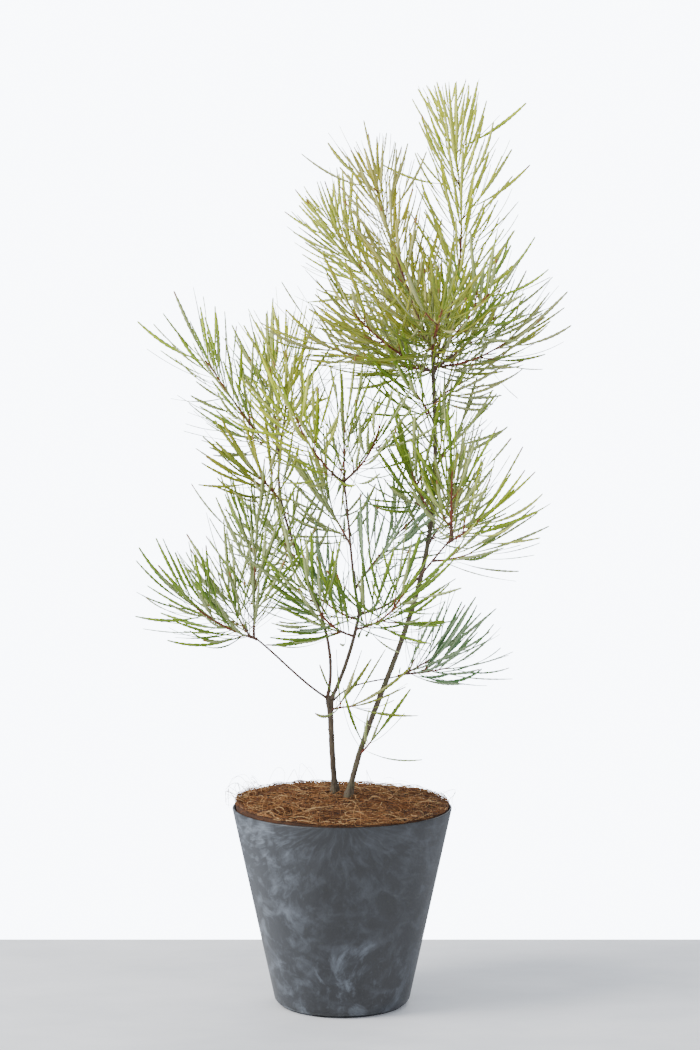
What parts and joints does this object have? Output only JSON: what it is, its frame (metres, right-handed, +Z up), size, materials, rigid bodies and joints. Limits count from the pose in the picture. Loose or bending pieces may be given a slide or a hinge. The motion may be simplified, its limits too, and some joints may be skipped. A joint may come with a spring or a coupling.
{
  "type": "potted hairpin banksia",
  "caption": "Young hairpin banksia in a tapered grey stone-look pot topped with coir: slim forked stems, bare below, with bottlebrush-like shoots of long narrow toothed leaves.",
  "frame": {"origin": "middle of the pot's flat underside, where the plant stands on the floor", "axes": "+Z up along the pot's axis; -Y towards the viewer of the front, from where the bare low bough points left (-X) and the tall crown leans right (+X)"},
  "size_m": [0.4606, 0.4072, 1.001],
  "materials": {
    "pot": "satin slate grey with pale marbling, stone look",
    "soil": "moist potting mix with roots",
    "coir": "coarse coconut fibre mat",
    "bark": "thin grey-brown bark, reddish on young wood",
    "leaf": "leathery leaf, green above and silvery below"
  },
  "bodies": {
    "root": {"bough_left": "bark", "bough_low_left": "bark", "bough_low_right": "bark", "bough_middle": "bark", "bough_right": "bark", "bough_upper": "bark", "coir": "coir", "foliage_centre_back": "leaf", "foliage_centre_front": "leaf", "foliage_centre_left": "leaf", "foliage_centre_rear": "leaf", "foliage_centre_right": "leaf", "foliage_crown": "leaf", "foliage_crown_back": "leaf", "foliage_crown_front": "leaf", "foliage_crown_left": "leaf", "foliage_crown_right": "leaf", "foliage_foot_left": "leaf", "foliage_foot_right": "leaf", "foliage_left": "leaf", "foliage_left_back": "leaf", "foliage_left_front": "leaf", "foliage_low_left": "leaf", "foliage_low_right": "leaf", "foliage_middle": "leaf", "foliage_right": "leaf", "foliage_right_low": "leaf", "foliage_spur_back": "leaf", "foliage_spur_front": "leaf", "foliage_spur_high": "leaf", "foliage_spur_left": "leaf", "foliage_spur_right": "leaf", "pot": "pot", "soil": "soil", "stem_left": "bark", "stem_right": "bark"}
  },
  "joints": []
}
